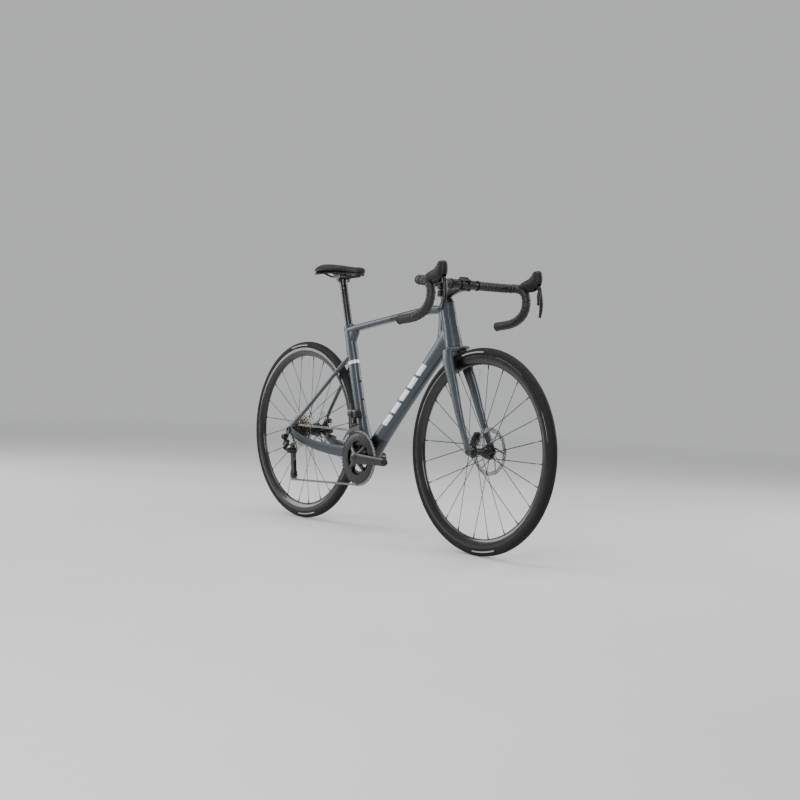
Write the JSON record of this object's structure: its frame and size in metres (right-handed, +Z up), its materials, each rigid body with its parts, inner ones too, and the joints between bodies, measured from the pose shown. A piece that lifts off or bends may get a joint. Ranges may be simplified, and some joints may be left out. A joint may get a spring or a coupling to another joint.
{
  "type": "road bicycle",
  "caption": "Road bicycle with drop handlebar, carbon frame and fork, disc brakes, spoked deep-rim wheels and a chain drive with front and rear derailleurs.",
  "frame": {"origin": "on the ground, midway between the two axles and on the bicycle's middle plane", "axes": "+X forward to the front wheel, +Y to the rider's left, +Z up"},
  "size_m": [1.678, 0.468, 0.975],
  "materials": {
    "frame_paint": "satin",
    "gloss_carbon": "gloss",
    "black_alloy": "satin",
    "grey_alloy": "satin",
    "bright_steel": "satin",
    "black_steel": "satin",
    "chain_steel": "satin",
    "cog_steel": "satin",
    "tyre": "matte",
    "grip_rubber": "matte",
    "black_plastic": "matte",
    "saddle_leather": "satin"
  },
  "bodies": {
    "frame": {"frame": "frame_paint", "bb_cup_left": "black_plastic", "bb_cup_right": "black_plastic", "derailleur_hanger": "grey_alloy", "rear_thru_axle": "black_alloy", "rear_brake_caliper": "black_alloy", "front_derailleur_body": "grey_alloy", "headset_bearing_lower": "bright_steel", "headset_bearing_upper": "bright_steel", "chain": "chain_steel"},
    "fork_and_bars": {"fork": "frame_paint", "stem": "black_alloy", "stem_faceplate": "black_alloy", "stem_top_cap": "black_alloy", "headset_cover": "black_plastic", "handlebar": "black_alloy", "bar_tape_left": "grip_rubber", "bar_tape_right": "grip_rubber", "bar_plug_left": "black_plastic", "bar_plug_right": "black_plastic", "hood_left": "grip_rubber", "hood_right": "grip_rubber", "front_thru_axle": "black_alloy", "front_brake_caliper": "black_alloy"},
    "front_wheel": {"front_tyre": "tyre", "front_rim": "gloss_carbon", "front_spokes": "black_steel", "front_hub": "black_alloy", "front_rotor": "bright_steel"},
    "rear_wheel": {"rear_tyre": "tyre", "rear_rim": "gloss_carbon", "rear_spokes": "black_steel", "rear_hub": "black_alloy", "rear_rotor": "bright_steel"},
    "cranks": {"crank_arm_right": "black_alloy", "crank_arm_left": "black_alloy", "chainring_outer": "black_alloy", "chainring_inner": "black_alloy"},
    "cassette": {"cassette": "cog_steel"},
    "seatpost": {"seatpost": "gloss_carbon", "saddle_clamp_lower": "grey_alloy", "saddle_clamp_upper": "grey_alloy", "saddle_rails": "bright_steel", "saddle_shell": "black_plastic", "saddle_cover": "saddle_leather"},
    "front_derailleur": {"front_derailleur_cage": "grey_alloy"},
    "rear_derailleur_b_knuckle": {"rear_derailleur_b_knuckle": "black_alloy"},
    "rear_derailleur_link_outer": {"rear_derailleur_link_outer": "black_alloy"},
    "rear_derailleur_link_inner": {"rear_derailleur_link_inner": "black_alloy"},
    "rear_derailleur_p_knuckle": {"rear_derailleur_p_knuckle": "black_alloy"},
    "rear_derailleur_cage": {"rear_derailleur_cage": "black_alloy", "chain_wrap": "chain_steel"},
    "guide_pulley": {"guide_pulley": "black_plastic"},
    "tension_pulley": {"tension_pulley": "black_plastic"},
    "brake_lever_left": {"brake_lever_left": "black_alloy"},
    "shift_button_upper_left": {"shift_button_upper_left": "black_plastic"},
    "shift_button_lower_left": {"shift_button_lower_left": "black_plastic"},
    "brake_lever_right": {"brake_lever_right": "black_alloy"},
    "shift_button_upper_right": {"shift_button_upper_right": "black_plastic"},
    "shift_button_lower_right": {"shift_button_lower_right": "black_plastic"}
  },
  "joints": [
    {"name": "steering", "type": "hinge", "parent": "frame", "child": "fork_and_bars", "pos_m": [0.45417, 0, 0.32587], "axis": [-0.3007, 0, 0.9537], "range_deg": [-60, 60]},
    {"name": "front_wheel_spin", "type": "hinge", "parent": "fork_and_bars", "child": "front_wheel", "pos_m": [0.499, 0, 0.34], "axis": [0, 1, 0], "continuous": true},
    {"name": "rear_wheel_spin", "type": "hinge", "parent": "frame", "child": "rear_wheel", "pos_m": [-0.499, 0, 0.34], "axis": [0, 1, 0], "continuous": true},
    {"name": "crank_spin", "type": "hinge", "parent": "frame", "child": "cranks", "pos_m": [-0.0955, 0, 0.266], "axis": [0, 1, 0], "continuous": true},
    {"name": "cassette_spin", "type": "hinge", "parent": "frame", "child": "cassette", "pos_m": [-0.499, 0, 0.34], "axis": [0, 1, 0], "continuous": true},
    {"name": "seatpost_slide", "type": "slide", "parent": "frame", "child": "seatpost", "axis": [-0.2924, 0, 0.9563], "range_m": [-0.05, 0.06]},
    {"name": "front_derailleur_swing", "type": "hinge", "parent": "frame", "child": "front_derailleur", "pos_m": [-0.144, -0.036, 0.424], "axis": [1, 0, 0], "range_deg": [0, 7.5], "deforming": ["chain"]},
    {"name": "rear_derailleur_b_bolt", "type": "hinge", "parent": "frame", "child": "rear_derailleur_b_knuckle", "pos_m": [-0.507, 0, 0.312], "axis": [0, 1, 0], "range_deg": [0, 15], "deforming": ["chain"]},
    {"name": "rear_derailleur_shift", "type": "hinge", "parent": "rear_derailleur_b_knuckle", "child": "rear_derailleur_link_outer", "pos_m": [-0.4965, -0.0945, 0.296], "axis": [0.4402, 0.3799, 0.8136], "range_deg": [0, 58.5], "deforming": ["chain"]},
    {"name": "rear_derailleur_inner_link_turn", "type": "hinge", "parent": "rear_derailleur_b_knuckle", "child": "rear_derailleur_link_inner", "pos_m": [-0.4965, -0.08272, 0.2905], "axis": [0.4402, 0.3799, 0.8136], "range_deg": [0, 58.5]},
    {"name": "rear_derailleur_p_knuckle_turn", "type": "hinge", "parent": "rear_derailleur_link_outer", "child": "rear_derailleur_p_knuckle", "pos_m": [-0.46208, -0.1212, 0.28984], "axis": [0.4402, 0.3799, 0.8136], "range_deg": [-58.5, 0], "deforming": ["chain"]},
    {"name": "rear_derailleur_cage_swing", "type": "hinge", "parent": "rear_derailleur_p_knuckle", "child": "rear_derailleur_cage", "pos_m": [-0.477, 0, 0.261], "axis": [0, 1, 0], "range_deg": [-55, 15], "stiffness_Nm_per_rad": 0.6, "deforming": ["chain"]},
    {"name": "guide_pulley_spin", "type": "hinge", "parent": "rear_derailleur_cage", "child": "guide_pulley", "pos_m": [-0.49, 0, 0.268], "axis": [0, 1, 0], "continuous": true},
    {"name": "tension_pulley_spin", "type": "hinge", "parent": "rear_derailleur_cage", "child": "tension_pulley", "pos_m": [-0.474, 0, 0.1695], "axis": [0, 1, 0], "continuous": true},
    {"name": "brake_lever_pull_left", "type": "hinge", "parent": "fork_and_bars", "child": "brake_lever_left", "pos_m": [0.503, 0.211, 0.893], "axis": [0, 1, 0], "range_deg": [0, 17], "stiffness_Nm_per_rad": 0.9, "springref_deg": -6.88},
    {"name": "shift_button_press_upper_left", "type": "slide", "parent": "brake_lever_left", "child": "shift_button_upper_left", "axis": [0, -1, 0], "range_m": [0, 0.0015], "stiffness_N_per_m": 400, "springref_m": -0.001},
    {"name": "shift_button_press_lower_left", "type": "slide", "parent": "brake_lever_left", "child": "shift_button_lower_left", "axis": [0, -1, 0], "range_m": [0, 0.0015], "stiffness_N_per_m": 400, "springref_m": -0.001},
    {"name": "brake_lever_pull_right", "type": "hinge", "parent": "fork_and_bars", "child": "brake_lever_right", "pos_m": [0.503, -0.211, 0.893], "axis": [0, 1, 0], "range_deg": [0, 17], "stiffness_Nm_per_rad": 0.9, "springref_deg": -6.88},
    {"name": "shift_button_press_upper_right", "type": "slide", "parent": "brake_lever_right", "child": "shift_button_upper_right", "axis": [0, 1, 0], "range_m": [0, 0.0015], "stiffness_N_per_m": 400, "springref_m": -0.001},
    {"name": "shift_button_press_lower_right", "type": "slide", "parent": "brake_lever_right", "child": "shift_button_lower_right", "axis": [0, 1, 0], "range_m": [0, 0.0015], "stiffness_N_per_m": 400, "springref_m": -0.001}
  ],
  "couplings": [
    {"joint": "cassette_spin", "follows": "crank_spin", "ratio": 4.8},
    {"joint": "tension_pulley_spin", "follows": "crank_spin", "ratio": 4.3636},
    {"joint": "guide_pulley_spin", "follows": "crank_spin", "ratio": -4.3636},
    {"joint": "rear_derailleur_inner_link_turn", "follows": "rear_derailleur_shift", "ratio": 1},
    {"joint": "rear_derailleur_p_knuckle_turn", "follows": "rear_derailleur_shift", "ratio": -1}
  ]
}
